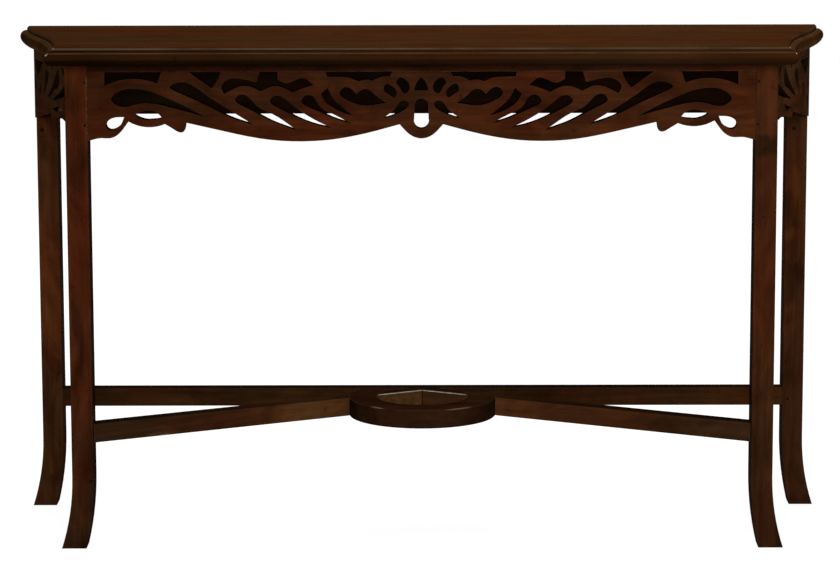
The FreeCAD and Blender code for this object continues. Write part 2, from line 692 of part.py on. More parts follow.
# Glue blocks in the corners between the legs and the aprons
glue_low_z = fret_top_z - tenon_shoulder - glue_block_length
glue_high_z = glue_low_z + glue_block_length
front_glue_block = box(front_leg_inner_x - glue_block_width, front_leg_inner_x,
                       fret_rear_y, fret_rear_y + glue_block_width, glue_low_z, glue_high_z)
rear_glue_block = box(rear_leg_inner_x - glue_block_width, rear_leg_inner_x,
                      rear_apron_front_y - glue_block_width, rear_apron_front_y, glue_low_z, glue_high_z)

fan_panel = cut_all(fan_panel, fan_pegs)
right_diagonal = cut_all(right_diagonal, stretcher_pegs + ring_pegs)
nodes = {
    "top_tongues": Part.makeCompound(tongues),
    "top_screws": Part.makeCompound(top_screws),
    "left_top_bearer": bearers["left"],
    "right_top_bearer": bearers["right"],
    "front_frieze_rail": frieze_rail,
    "front_fret_panel": cut_all(fret_panel, fret_pegs),
    "rear_apron": cut_all(rear_apron, rear_apron_pegs),
    "rear_stretcher": cut_all(rear_stretcher, stretcher_pegs + ring_screws),
    "stretcher_ring": cut_all(ring, ring_pegs + ring_screws),
    "fret_panel_pegs": Part.makeCompound(fret_pegs),
    "fan_panel_pegs": Part.makeCompound(fan_pegs),
    "rear_apron_pegs": Part.makeCompound(rear_apron_pegs),
    "stretcher_pegs": Part.makeCompound(stretcher_pegs),
    "ring_pegs": Part.makeCompound(ring_pegs),
    "ring_screws": Part.makeCompound(ring_screws),
}
for name, plank in zip(plank_names, planks):
    nodes["top_" + name + "_plank"] = plank
paired_pieces = {
    "front_{}_leg": front_leg,
    "rear_{}_leg": rear_leg,
    "{}_fan_panel": fan_panel,
    "{}_diagonal_stretcher": cut_all(right_diagonal, ring_screws),
    "front_{}_glue_block": front_glue_block,
    "rear_{}_glue_block": rear_glue_block,
}
for pattern, shape in paired_pieces.items():
    nodes[pattern.format("right")] = shape
    nodes[pattern.format("left")] = mirrored(shape)

os.makedirs("parts", exist_ok=True)
for node_name, shape in nodes.items():
    shape.exportStep("parts/" + node_name + ".step")
    print(node_name, len(shape.Solids), round(shape.Volume), shape.isValid())
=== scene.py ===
import math
from functools import partial

import bpy
from mathutils import Matrix, Vector


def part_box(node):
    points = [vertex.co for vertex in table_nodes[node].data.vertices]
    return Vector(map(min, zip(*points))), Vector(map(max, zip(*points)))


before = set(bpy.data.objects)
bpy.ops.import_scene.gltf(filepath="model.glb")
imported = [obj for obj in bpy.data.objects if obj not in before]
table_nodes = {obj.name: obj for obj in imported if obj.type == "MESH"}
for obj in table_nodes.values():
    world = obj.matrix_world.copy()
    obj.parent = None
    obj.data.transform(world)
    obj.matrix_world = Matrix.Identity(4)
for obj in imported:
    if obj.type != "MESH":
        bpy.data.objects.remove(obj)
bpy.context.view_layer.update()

# Legs: four straight posts of dark stained hardwood with the feet swept outwards.
# Sawn and planed from one length each, stained and varnished, mortised for the
# aprons and stretchers; the varnish is rubbed pale along the arrises, and that pale
# colour also paints the highlight that the arrises catch.


def wire(tree, source, target):
    tree.links.new(source, target)


def set_or_wire(tree, socket, value):
    """Gives a socket a plain value, or wires another node's output to it."""
    if isinstance(value, bpy.types.NodeSocket):
        wire(tree, value, socket)
    else:
        socket.default_value = value


def number_step(tree, kind, first, second=0.0, third=None, clamp=False):
    """One Math node; each of its inputs is a number or another node's output."""
    node = tree.nodes.new("ShaderNodeMath")
    node.operation = kind
    node.use_clamp = clamp
    for place, value in enumerate((first, second, third)):
        if value is not None:
            set_or_wire(tree, node.inputs[place], value)
    return node.outputs[0]


def product(tree, first, second):
    return number_step(tree, "MULTIPLY", first, second)


def rest_of(tree, share):
    """What is left of one when a share is taken away."""
    return number_step(tree, "SUBTRACT", 1.0, share)


def soft_step(tree, value, low, high):
    """Zero below low, one above high, smooth between them."""
    node = tree.nodes.new("ShaderNodeMapRange")
    node.interpolation_type = "SMOOTHSTEP"
    wire(tree, value, node.inputs["Value"])
    node.inputs["From Min"].default_value = low
    node.inputs["From Max"].default_value = high
    return node.outputs["Result"]


def colour_mix(tree, kind, share, first, second):
    """One Mix node for colours; its share and its colours are values or outputs."""
    node = tree.nodes.new("ShaderNodeMix")
    node.data_type = "RGBA"
    node.blend_type = kind
    set_or_wire(tree, node.inputs[0], share)
    for place, colour in ((6, first), (7, second)):
        if isinstance(colour, tuple):
            colour = (*colour, 1.0)
        set_or_wire(tree, node.inputs[place], colour)
    return node.outputs[2]


def painted(tree, base, share, colour):
    """Covers a share of the base colour with another colour."""
    return colour_mix(tree, "MIX", share, base, colour)


def toned(tree, base, share, tone):
    """Darkens or lightens a share of the base colour by a tone."""
    return colour_mix(tree, "MULTIPLY", share, base, tone)


def vector_step(tree, kind, *values):
    """One Vector Math node; each of its inputs is a vector or another node's output."""
    node = tree.nodes.new("ShaderNodeVectorMath")
    node.operation = kind
    for place, value in enumerate(values):
        set_or_wire(tree, node.inputs[place], value)
    return node.outputs["Value" if kind in ("DOT_PRODUCT", "LENGTH") else "Vector"]


def stretched(tree, vector, scale):
    return vector_step(tree, "MULTIPLY", vector, scale)


def shaded(tree, colour, brightness):
    """A colour times one number."""
    node = tree.nodes.new("ShaderNodeVectorMath")
    node.operation = "SCALE"
    wire(tree, colour, node.inputs[0])
    wire(tree, brightness, node.inputs["Scale"])
    return node.outputs["Vector"]


def split(tree, vector):
    """The X, Y and Z of a vector."""
    node = tree.nodes.new("ShaderNodeSeparateXYZ")
    wire(tree, vector, node.inputs[0])
    return [node.outputs[axis] for axis in "XYZ"]


def face_normal(tree):
    return tree.nodes.new("ShaderNodeNewGeometry").outputs["True Normal"]


def cloudiness(tree, vector, scale, detail, roughness=0.55, distortion=0.0, output="Fac"):
    """A Noise node's value, or its colour, over a vector."""
    node = tree.nodes.new("ShaderNodeTexNoise")
    node.inputs["Scale"].default_value = scale
    node.inputs["Detail"].default_value = detail
    node.inputs["Roughness"].default_value = roughness
    node.inputs["Distortion"].default_value = distortion
    wire(tree, vector, node.inputs["Vector"])
    return node.outputs[output]


def group_sockets(tree, inputs, outputs):
    for name, kind in inputs:
        tree.interface.new_socket(name=name, in_out="INPUT", socket_type=kind)
    for name, kind in outputs:
        tree.interface.new_socket(name=name, in_out="OUTPUT", socket_type=kind)
    return tree.nodes.new("NodeGroupInput"), tree.nodes.new("NodeGroupOutput")


# Wood grain that runs along X of the vector it is given, in metres
grain = bpy.data.node_groups.new("stained_grain", "ShaderNodeTree")
grain_in, grain_out = group_sockets(
    grain,
    [("Vector", "NodeSocketVector"), ("Deep", "NodeSocketColor"), ("Pale", "NodeSocketColor"),
     ("Figure", "NodeSocketFloat"), ("Mottle", "NodeSocketFloat"), ("Gloss", "NodeSocketFloat")],
    [("Color", "NodeSocketColor"), ("Roughness", "NodeSocketFloat"), ("Height", "NodeSocketFloat")],
)
grain_way = grain_in.outputs["Vector"]


def grain_noise(vector, stretch, detail, roughness=0.55, distortion=0.0):
    return cloudiness(grain, stretched(grain, vector, stretch), 1.0, detail, roughness, distortion)


# The fibres sway a little across the board
sway_stretch = (1.0, 2.4, 2.4)
sway_scale = 3.2
sway_reach = (0.0, 0.022, 0.022)
sway = cloudiness(grain, stretched(grain, grain_way, sway_stretch), sway_scale,
                  detail=1.0, roughness=0.5, output="Color")
swayed_way = vector_step(grain, "MULTIPLY_ADD", sway, sway_reach, grain_way)

# Growth bands, streaks, fibres and pores, from the broadest to the finest
bands = grain_noise(swayed_way, stretch=(1.3, 24.0, 24.0), detail=3.0)
streaks = grain_noise(swayed_way, stretch=(3.2, 150.0, 150.0), detail=4.0, roughness=0.62)
fibres = grain_noise(swayed_way, stretch=(16.0, 850.0, 850.0), detail=2.0, roughness=0.6)
pore_noise = grain_noise(swayed_way, stretch=(70.0, 1500.0, 1500.0), detail=1.0)
pores = soft_step(grain, pore_noise, low=0.66, high=0.78)

# Blotches of the stain, its slow drift between warm and cool brown, and small knocks
blotches = grain_noise(grain_way, stretch=(9.0, 20.0, 20.0), detail=4.0, roughness=0.6, distortion=0.9)
drift_noise = grain_noise(grain_way, stretch=(5.0, 11.0, 11.0), detail=2.0)
drift = soft_step(grain, drift_noise, low=0.36, high=0.64)
knock_noise = cloudiness(grain, grain_way, scale=62.0, detail=2.0, roughness=0.6, distortion=0.6)
knocks = soft_step(grain, knock_noise, low=0.68, high=0.77)

# What makes up the figure, with its limits and its share; the sum is swung round its middle
figure_marks = ((bands, (0.28, 0.72), 0.42), (streaks, (0.3, 0.7), 0.36), (fibres, (0.25, 0.75), 0.22))
middle = 0.5
figure = 0.0
for mark, (low, high), share in figure_marks:
    figure = number_step(grain, "MULTIPLY_ADD", soft_step(grain, mark, low, high), share, figure)
figure = number_step(grain, "SUBTRACT", figure, middle)
figure = number_step(grain, "MULTIPLY_ADD", figure, grain_in.outputs["Figure"], middle, clamp=True)
wood_colour = colour_mix(grain, "MIX", figure, grain_in.outputs["Deep"], grain_in.outputs["Pale"])

# The tones that the blotches, pores, knocks and drift give to it
darkest_blotch = 0.3
pore_tone = (0.3, 0.24, 0.2)
pore_share = 0.55
knock_tone = (0.42, 0.38, 0.36)
knock_share = 0.7
warm_drift = (1.08, 0.92, 0.85)
cool_drift = (0.93, 1.09, 1.15)
blotch_swing = number_step(grain, "SUBTRACT", blotches, middle)
blotch_tone = number_step(grain, "MULTIPLY_ADD", blotch_swing, grain_in.outputs["Mottle"], 1.0)
wood_colour = shaded(grain, wood_colour, number_step(grain, "MAXIMUM", blotch_tone, darkest_blotch))
wood_colour = toned(grain, wood_colour, product(grain, pores, pore_share), pore_tone)
wood_colour = toned(grain, wood_colour, product(grain, knocks, knock_share), knock_tone)
drift_tone = colour_mix(grain, "MIX", drift, warm_drift, cool_drift)
wire(grain, toned(grain, wood_colour, 1.0, drift_tone), grain_out.inputs["Color"])

# Blotches are smoother, fibres and pores duller; streaks and fibres stand up, pores and knocks sink
blotch_dullness = -0.22
fibre_dullness = 0.16
pore_dullness = 0.18
dullness = number_step(grain, "MULTIPLY_ADD", blotches, blotch_dullness, grain_in.outputs["Gloss"])
dullness = number_step(grain, "MULTIPLY_ADD", fibres, fibre_dullness, dullness)
dullness = number_step(grain, "MULTIPLY_ADD", pores, pore_dullness, dullness, clamp=True)
wire(grain, dullness, grain_out.inputs["Roughness"])
rises = ((streaks, 0.5), (fibres, 0.35), (pores, -0.6), (knocks, -0.9))
surface_height = 0.0
for mark, rise in rises:
    surface_height = number_step(grain, "MULTIPLY_ADD", mark, rise, surface_height)
wire(grain, surface_height, grain_out.inputs["Height"])

# Wear and painted highlight along the arrises: where the surface turns within a few millimetres
wear_and_highlight = bpy.data.node_groups.new("worn_and_highlit_edge", "ShaderNodeTree")
wear_and_highlight_in, wear_and_highlight_out = group_sockets(
    wear_and_highlight,
    [("Vector", "NodeSocketVector"), ("Width", "NodeSocketFloat"), ("Patchiness", "NodeSocketFloat")],
    [("Edge", "NodeSocketFloat"), ("Normal", "NodeSocketVector")],
)
fine_wear_and_highlight_share = 0.35
round_over = wear_and_highlight.nodes.new("ShaderNodeBevel")
round_over.samples = 6
wire(wear_and_highlight, wear_and_highlight_in.outputs["Width"], round_over.inputs["Radius"])
turn = vector_step(wear_and_highlight, "DOT_PRODUCT", round_over.outputs["Normal"], face_normal(wear_and_highlight))
near_arris = soft_step(wear_and_highlight, rest_of(wear_and_highlight, turn), low=0.015, high=0.22)
wear_and_highlight_patches = cloudiness(wear_and_highlight, wear_and_highlight_in.outputs["Vector"], scale=28.0, detail=4.0, roughness=0.65)
wear_and_highlight_fine = cloudiness(wear_and_highlight, wear_and_highlight_in.outputs["Vector"], scale=240.0, detail=2.0, roughness=0.6)
patch_level = number_step(wear_and_highlight, "MULTIPLY_ADD", wear_and_highlight_fine, fine_wear_and_highlight_share, wear_and_highlight_patches)
patch_level = number_step(wear_and_highlight, "SUBTRACT", patch_level, wear_and_highlight_in.outputs["Patchiness"])
patch_mask = soft_step(wear_and_highlight, patch_level, low=-0.08, high=0.2)
wire(wear_and_highlight, number_step(wear_and_highlight, "MULTIPLY", near_arris, patch_mask, clamp=True), wear_and_highlight_out.inputs["Edge"])
wire(wear_and_highlight, round_over.outputs["Normal"], wear_and_highlight_out.inputs["Normal"])

varnish_roughness = 0.3
bump_strength = 0.6
worn_edge_smoothing = -0.12
sheen_of_smooth_wood = 1.8
sheen_lost_by_roughness = -1.6
step_between_boards = (3.7, 1.9, 2.3)


def stained_wood(name, grain_turn, deep, pale, seed, figure=1.0, mottle=2.0, gloss=0.46,
                 rub_and_highlight=(0.105, 0.052, 0.025), rub_and_highlight_share=0.6, arris=0.003, patchiness=0.6,
                 relief=0.00022, sheen=0.01, edge_sheen=0.1):
    """Stained and varnished hardwood with grain, worn arrises that also carry a painted highlight, uneven
    gloss and relief.
    """
    material = bpy.data.materials.new(name)
    material.use_nodes = True
    tree = material.node_tree
    shader = tree.nodes["Principled BSDF"]
    shader.inputs["Specular IOR Level"].default_value = 0.0
    shader.inputs["Coat Roughness"].default_value = varnish_roughness
    place = tree.nodes.new("ShaderNodeTexCoord")
    along = tree.nodes.new("ShaderNodeMapping")
    along.inputs["Rotation"].default_value = grain_turn
    along.inputs["Location"].default_value = [seed * step for step in step_between_boards]
    wire(tree, place.outputs["Object"], along.inputs["Vector"])
    figured = tree.nodes.new("ShaderNodeGroup")
    figured.node_tree = grain
    wire(tree, along.outputs["Vector"], figured.inputs["Vector"])
    figured.inputs["Deep"].default_value = (*deep, 1.0)
    figured.inputs["Pale"].default_value = (*pale, 1.0)
    figured.inputs["Figure"].default_value = figure
    figured.inputs["Mottle"].default_value = mottle
    figured.inputs["Gloss"].default_value = gloss
    worn_and_highlit = tree.nodes.new("ShaderNodeGroup")
    worn_and_highlit.node_tree = wear_and_highlight
    wire(tree, place.outputs["Object"], worn_and_highlit.inputs["Vector"])
    worn_and_highlit.inputs["Width"].default_value = arris
    worn_and_highlit.inputs["Patchiness"].default_value = patchiness
    edge = worn_and_highlit.outputs["Edge"]
    dull = figured.outputs["Roughness"]
    # The pale arris colour is partly wear and partly a painted highlight.
    rubbed_and_highlit = painted(tree, figured.outputs["Color"], product(tree, edge, rub_and_highlight_share), rub_and_highlight)
    wire(tree, rubbed_and_highlit, shader.inputs["Base Color"])
    smoothed = number_step(tree, "MULTIPLY_ADD", edge, worn_edge_smoothing, dull)
    wire(tree, smoothed, shader.inputs["Roughness"])
    polish = number_step(tree, "MULTIPLY_ADD", dull, sheen_lost_by_roughness * sheen,
                         sheen_of_smooth_wood * sheen)
    polish = number_step(tree, "MULTIPLY_ADD", edge, edge_sheen, polish, clamp=True)
    wire(tree, polish, shader.inputs["Coat Weight"])
    bump = tree.nodes.new("ShaderNodeBump")
    bump.inputs["Strength"].default_value = bump_strength
    bump.inputs["Distance"].default_value = relief
    wire(tree, figured.outputs["Height"], bump.inputs["Height"])
    wire(tree, worn_and_highlit.outputs["Normal"], bump.inputs["Normal"])
    wire(tree, bump.outputs["Normal"], shader.inputs["Normal"])
    return material


def finish_with(material, *names):
    for name in names:
        table_nodes[name].data.materials[0] = material


def over_colour(material, *layers):
    """Lays colours over the base colour, each worked out from the one before and Object coordinates."""
    tree = material.node_tree
    shader = tree.nodes["Principled BSDF"]
    place = next(node for node in tree.nodes if node.bl_idname == "ShaderNodeTexCoord")
    for layer in layers:
        base = shader.inputs["Base Color"].links[0].from_socket
        wire(tree, layer(tree, base, place.outputs["Object"]), shader.inputs["Base Color"])


def spot_mask(tree, place, centre, radii, low=0.3, high=1.0):
    """One inside an ellipsoid round centre, fading to zero at its rim."""
    shifted = vector_step(tree, "SUBTRACT", place, centre)
    scaled = stretched(tree, shifted, tuple(1.0 / radius for radius in radii))
    return rest_of(tree, soft_step(tree, vector_step(tree, "LENGTH", scaled), low, high))


def shaded_foot(tree, base, place, tone):
    """Painted shade takes the lower part of a leg darker and shifts its tone towards the foot."""
    level = split(tree, place)[2]
    return toned(tree, base, rest_of(tree, soft_step(tree, level, foot_low, foot_high)), tone)


def stained_patches(tree, base, place, patches, depth):
    """Old stains and places rubbed thin, with ragged rims; each has its place, half sizes and tone."""
    ragged = cloudiness(tree, stretched(tree, place, rag_stretch), rag_scale,
                        detail=3.0, roughness=0.5, output="Color")
    swing = vector_step(tree, "SUBTRACT", ragged, (middle, middle, middle))
    strayed = vector_step(tree, "MULTIPLY_ADD", swing, rag_reach, place)
    for (across, level), (half_width, half_height), tone in patches:
        half_sizes = (half_width, patch_half_depth, half_height)
        base = toned(tree, base, spot_mask(tree, strayed, (across, depth, level), half_sizes), tone)
    return base


def shaded_inner_side(tree, base, place, inward):
    """Painted shade on the side that faces the other legs."""
    faces_inward = product(tree, split(tree, face_normal(tree))[0], inward)
    return toned(tree, base, soft_step(tree, faces_inward, low=0.5, high=0.85), inner_side_shade_tone)


def knotted(tree, base, place, centre, reach):
    """A small dark knot in a leg's front face."""
    return painted(tree, base, spot_mask(tree, place, centre, reach), knot_colour)


def highlight_beside_joint(tree, base, place):
    """A painted highlight in dashes on the front left leg's arris beside the joint with the fret panel."""
    run = spot_mask(tree, place, (left_leg_high.x, left_leg_low.y, joint_level), joint_reach, low=0.6)
    dash_noise = cloudiness(tree, place, scale=260.0, detail=2.0, roughness=0.6)
    dashes = soft_step(tree, dash_noise, low=0.5, high=0.62)
    return painted(tree, base, product(tree, run, dashes), joint_highlight_colour)


quarter_turn = math.pi / 2
upright_grain = (0.0, quarter_turn, 0.0)
# The rear legs are lighter and yellower; part of that lift is painted light for the lamp light that falls off
# towards them
leg_tones_and_painted_light = {"front": ((0.021, 0.005, 0.0015), (0.058, 0.0145, 0.0044)),
             "rear": ((0.031, 0.009, 0.0027), (0.079, 0.0243, 0.0074))}
leg_mottle = {"front_left_leg": 2.4, "front_right_leg": 2.4, "rear_left_leg": 2.8, "rear_right_leg": 1.6}
foot_low = 0.03
foot_high = 0.42
# Painted shade towards the feet: the tone each foot falls to
foot_shade_tones = {"front_left_leg": (0.72, 0.92, 1.08), "front_right_leg": (0.74, 1.12, 1.4),
              "rear_left_leg": (0.72, 0.82, 0.84), "rear_right_leg": (0.84, 0.84, 0.95)}
rag_stretch = (1.0, 1.0, 0.4)
rag_scale = 55.0
rag_reach = (0.02, 0.0, 0.07)
patch_half_depth = 0.06
leg_stains = {
    "front_left_leg": [((-0.526, 0.59), (0.03, 0.055), (0.66, 0.74, 0.76)),
                       ((-0.514, 0.615), (0.01, 0.035), (0.66, 0.8, 0.74)),
                       ((-0.534, 0.362), (0.009, 0.045), (0.55, 0.62, 0.72)),
                       ((-0.526, 0.32), (0.008, 0.07), (0.55, 0.7, 0.68))],
    "front_right_leg": [((0.526, 0.63), (0.034, 0.017), (0.42, 0.54, 0.56)),
                        ((0.514, 0.4), (0.01, 0.12), (1.3, 1.25, 1.0))],
    "rear_left_leg": [((-0.614, 0.605), (0.016, 0.045), (0.62, 0.6, 0.65)),
                      ((-0.603, 0.335), (0.03, 0.08), (1.4, 1.5, 1.25)),
                      ((-0.6, 0.07), (0.014, 0.03), (1.5, 1.5, 1.25))],
    "rear_right_leg": [((0.593, 0.495), (0.009, 0.03), (0.62, 0.7, 0.85)),
                       ((0.606, 0.465), (0.01, 0.022), (0.64, 0.72, 0.88)),
                       ((0.614, 0.39), (0.012, 0.035), (0.55, 0.62, 0.8)),
                       ((0.606, 0.53), (0.014, 0.04), (1.5, 1.38, 1.25)),
                       ((0.596, 0.3), (0.018, 0.06), (1.8, 1.6, 1.5)),
                       ((0.594, 0.445), (0.01, 0.025), (1.5, 1.4, 1.4)),
                       ((0.614, 0.025), (0.03, 0.022), (1.5, 1.35, 1.4))],
}
# Painted shade on the legs' inner sides
inner_side_shade_tone = (0.4, 0.46, 0.5)
knot_colour = (0.006, 0.003, 0.0015)
large_knot = (0.0042, 0.012, 0.0042)
small_knot = (0.003, 0.012, 0.003)
flat_knot = (0.007, 0.012, 0.0028)
leg_knots = {"rear_left_leg": [(-0.613, 0.621, large_knot)],
             "rear_right_leg": [(0.601, 0.621, large_knot), (0.597, 0.176, small_knot)],
             "front_left_leg": [(-0.513, 0.107, flat_knot)],
             "front_right_leg": []}
left_leg_low, left_leg_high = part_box("front_left_leg")
# Painted highlight in dashes beside the front left leg's joint
joint_level = 0.695
joint_reach = (0.002, 0.004, 0.07)
joint_highlight_colour = (0.078, 0.045, 0.02)
for seed, leg_name in enumerate(leg_mottle, start=1):
    deep, pale = leg_tones_and_painted_light[leg_name.split("_")[0]]
    leg_wood = stained_wood(leg_name + "_wood", upright_grain, deep, pale, seed,
                            mottle=leg_mottle[leg_name])
    leg_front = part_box(leg_name)[0].y
    over_colour(leg_wood,
                partial(shaded_foot, tone=foot_shade_tones[leg_name]),
                partial(stained_patches, patches=leg_stains[leg_name], depth=leg_front),
                partial(shaded_inner_side, inward=1.0 if "left" in leg_name else -1.0))
    for across, level, reach in leg_knots[leg_name]:
        over_colour(leg_wood, partial(knotted, centre=(across, leg_front, level), reach=reach))
    if leg_name == "front_left_leg":
        over_colour(leg_wood, highlight_beside_joint)
    finish_with(leg_wood, leg_name)

# Rear apron: a plain board tenoned between the rear legs, of the same stained
# hardwood as the legs, planed on both faces, with its grain along the table.
level_grain = (0.0, 0.0, 0.0)
apron_deep = (0.016, 0.0042, 0.0014)
apron_pale = (0.042, 0.0115, 0.0038)
inner_face_tone = (0.42, 0.6, 0.6)


def dim_inner_face(tree, base, place):
    """Darkens the face towards the room, which lies in the shade of the top."""
    faces_inward = product(tree, split(tree, face_normal(tree))[1], -1.0)
    return toned(tree, base, soft_step(tree, faces_inward, low=0.5, high=0.9), inner_face_tone)


rear_apron_wood = stained_wood("rear_apron_wood", level_grain, apron_deep, apron_pale, seed=5)
over_colour(rear_apron_wood, dim_inner_face)
finish_with(rear_apron_wood, "rear_apron")

# Front frieze rail: the straight strip under the top, stub-tenoned into the legs.
# Stained like the legs; its left end is darker.
frieze_deep = (0.019, 0.005, 0.0016)
frieze_pale = (0.048, 0.013, 0.0043)
frieze_left_tone = 0.45
tone_from = -0.5
tone_to = 0.35


def darker_to_the_left(tree, base, place, left_tone):
    """Takes the colour evenly down to left_tone between the right and the left part of the table."""
    tone = tree.nodes.new("ShaderNodeMapRange")
    wire(tree, split(tree, place)[0], tone.inputs["Value"])
    tone.inputs["From Min"].default_value = tone_from
    tone.inputs["From Max"].default_value = tone_to
    tone.inputs["To Min"].default_value = left_tone
    tone.inputs["To Max"].default_value = 1.0
    return shaded(tree, base, tone.outputs["Result"])


frieze_wood = stained_wood("frieze_wood", level_grain, frieze_deep, frieze_pale, seed=6)
over_colour(frieze_wood, partial(darker_to_the_left, left_tone=frieze_left_tone))
finish_with(frieze_wood, "front_frieze_rail")

# Front fret panel: a flat board sawn and pierced by hand, tenoned into the front
# legs under the frieze rail. The sawn walls of the piercings took more stain and
# carry painted shade, so they are nearly black; the face is rubbed along its edges,
# where the pale colour also paints a highlight, and painted shadow darkens its upper part.
fret_deep = (0.024, 0.006, 0.0017)
fret_pale = (0.064, 0.0165, 0.0048)
fret_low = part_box("front_fret_panel")[0]
fret_left_tone = 0.72
# Painted shadow under the top's overhang, over the upper part of the panel
fret_shadow_tone = (0.78, 0.8, 0.84)
shadow_from = fret_low.z + 0.012
shadow_to = fret_low.z + 0.06
# Sawn walls: stain with painted shade, nearly black
sawn_stain_and_shade = (0.0045, 0.0022, 0.001)
sawn_stain_and_shade_share = 0.85


def left_tone_and_shadow_under_top(tree, base, place):
    """Darker towards the left, with painted shadow under the overhang of the top."""
    base = darker_to_the_left(tree, base, place, fret_left_tone)
    shadow_share = soft_step(tree, split(tree, place)[2], shadow_from, shadow_to)
    return toned(tree, base, shadow_share, fret_shadow_tone)


def stain_and_shade_in_sawn_walls(tree, base, place, board_normal):
    """Stain and painted shade darken what doesn't face along board_normal, which is where the saw went
    through.
    """
    turn = vector_step(tree, "DOT_PRODUCT", face_normal(tree), board_normal)
    wall = rest_of(tree, soft_step(tree, number_step(tree, "ABSOLUTE", turn), low=0.55, high=0.9))
    return painted(tree, base, product(tree, wall, sawn_stain_and_shade_share), sawn_stain_and_shade)


fret_wood = stained_wood("fret_wood", level_grain, fret_deep, fret_pale, seed=7,
                         mottle=2.5, arris=0.0018, rub_and_highlight_share=0.3)
over_colour(fret_wood, left_tone_and_shadow_under_top, partial(stain_and_shade_in_sawn_walls, board_normal=(0.0, 1.0, 0.0)))
finish_with(fret_wood, "front_fret_panel")

# Canted end panels: boards pierced as a fan, tenoned into the front and rear legs
# at each end. Same stained hardwood, grain along the slant, sawn walls dark with stain
# and painted shade; painted light lifts both panels' colours, the right one's most.
fan_low, fan_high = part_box("right_fan_panel")
fan_slant = math.atan2(fan_high.y - fan_low.y, fan_high.x - fan_low.x)
# Painted light lifts both panels' colours, the right one's most
fan_deep_with_painted_light = {-1.0: (0.036, 0.0125, 0.0045), 1.0: (0.055, 0.0195, 0.0075)}
fan_pale_with_painted_light = {-1.0: (0.09, 0.034, 0.0122), 1.0: (0.135, 0.051, 0.0195)}
chip_place = (-0.5615, -0.0488, 0.675)
chip_reach = (0.006, 0.014, 0.0016)
chip_colour = (0.2, 0.165, 0.085)


def chipped(tree, base, place):
    """A splinter has come off the left panel near its lower edge and shows pale wood."""
    return painted(tree, base, spot_mask(tree, place, chip_place, chip_reach), chip_colour)


for side, name in ((1.0, "right_fan_panel"), (-1.0, "left_fan_panel")):
    fan_grain = (0.0, 0.0, -side * fan_slant)
    fan_wood = stained_wood(name + "_wood", fan_grain, fan_deep_with_painted_light[side], fan_pale_with_painted_light[side], seed=8 + side,
                            arris=0.0018, rub_and_highlight_share=0.4, sheen=0.003, edge_sheen=0.03)
    fan_normal = (math.sin(fan_slant), -side * math.cos(fan_slant), 0.0)
    over_colour(fan_wood, partial(stain_and_shade_in_sawn_walls, board_normal=fan_normal))
    if side < 0:
        over_colour(fan_wood, chipped)
    finish_with(fan_wood, name)

# Glue blocks and top bearers: unseen pieces of plain sawn hardwood, rubbed into the
# corners with glue or stub-tenoned between the aprons; only a thin wash of stain.
across_grain = (0.0, 0.0, -quarter_turn)
inner_deep = (0.05, 0.022, 0.009)
inner_pale = (0.13, 0.066, 0.03)
inner_rub_and_highlight = (0.16, 0.09, 0.045)
inner_gloss = 0.8
inner_rub_and_highlight_share = 0.4
block_wood = stained_wood("glue_block_wood", upright_grain, inner_deep, inner_pale, seed=11,
                          gloss=inner_gloss, rub_and_highlight=inner_rub_and_highlight, rub_and_highlight_share=inner_rub_and_highlight_share)
finish_with(block_wood, "front_left_glue_block", "front_right_glue_block",
            "rear_left_glue_block", "rear_right_glue_block")
bearer_wood = stained_wood("bearer_wood", across_grain, inner_deep, inner_pale, seed=12,
                           gloss=inner_gloss, rub_and_highlight=inner_rub_and_highlight, rub_and_highlight_share=inner_rub_and_highlight_share)
finish_with(bearer_wood, "left_top_bearer", "right_top_bearer")

# Rear stretcher: a straight rail tenoned between the rear legs, stained hardwood
# with its long arrises eased; feet have rubbed the front arris bare in places, and the
# pale arris also carries a painted highlight.
rail_deep = (0.0138, 0.005, 0.0016)
rail_pale = (0.036, 0.0129, 0.004)
rail_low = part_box("rear_stretcher")[0]
pale_rail_end = [((0.56, rail_low.z + 0.015), (0.16, 0.05), (1.9, 1.55, 1.35))]
top_face_tone = (0.48, 0.48, 0.48)


def darker_top_faces(tree, base, place):
    """Darkens the faces of a rail that look upwards."""
    upward = soft_step(tree, split(tree, face_normal(tree))[2], low=0.3, high=0.8)
    return toned(tree, base, upward, top_face_tone)


rear_rail_wood = stained_wood("rear_stretcher_wood", level_grain, rail_deep, rail_pale, seed=13,
                              patchiness=0.5)
over_colour(rear_rail_wood, partial(stained_patches, patches=pale_rail_end, depth=rail_low.y), darker_top_faces)
finish_with(rear_rail_wood, "rear_stretcher")

# Diagonal stretchers: two rails from the front legs to a mitre in front of the rear
# stretcher, halved under the ring. Inside the ring the left one's side is worn to raw
# wood that also paints light, the right one's side carries painted shade, and a painted
# highlight runs along the arris of both.
diagonal_deep = (0.0218, 0.0075, 0.0027)
diagonal_pale = (0.06, 0.0215, 0.0077)
diagonal_low, diagonal_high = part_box("right_diagonal_stretcher")
diagonal_slant = math.atan2(diagonal_high.y - diagonal_low.y, diagonal_high.x - diagonal_low.x)
ring_low, ring_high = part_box("stretcher_ring")
ring_radius = (ring_high.x - ring_low.x) / 2
ring_middle = Vector(((ring_low.x + ring_high.x) / 2, ring_low.y + ring_radius, ring_high.z))
ring_hole_reach = (0.074, 0.074, 0.06)
mitre_depth = 0.02
mitre_front = rail_low.y - mitre_depth
front_slope = (mitre_front - diagonal_low.y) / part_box("front_right_leg")[0].x
legward_tone = (0.62, 0.66, 0.7)
tone_near_ring = 0.16
tone_near_leg = 0.5
# Painted shade on the right half inside the ring
right_side_shade_tone = (0.6, 0.62, 0.66)

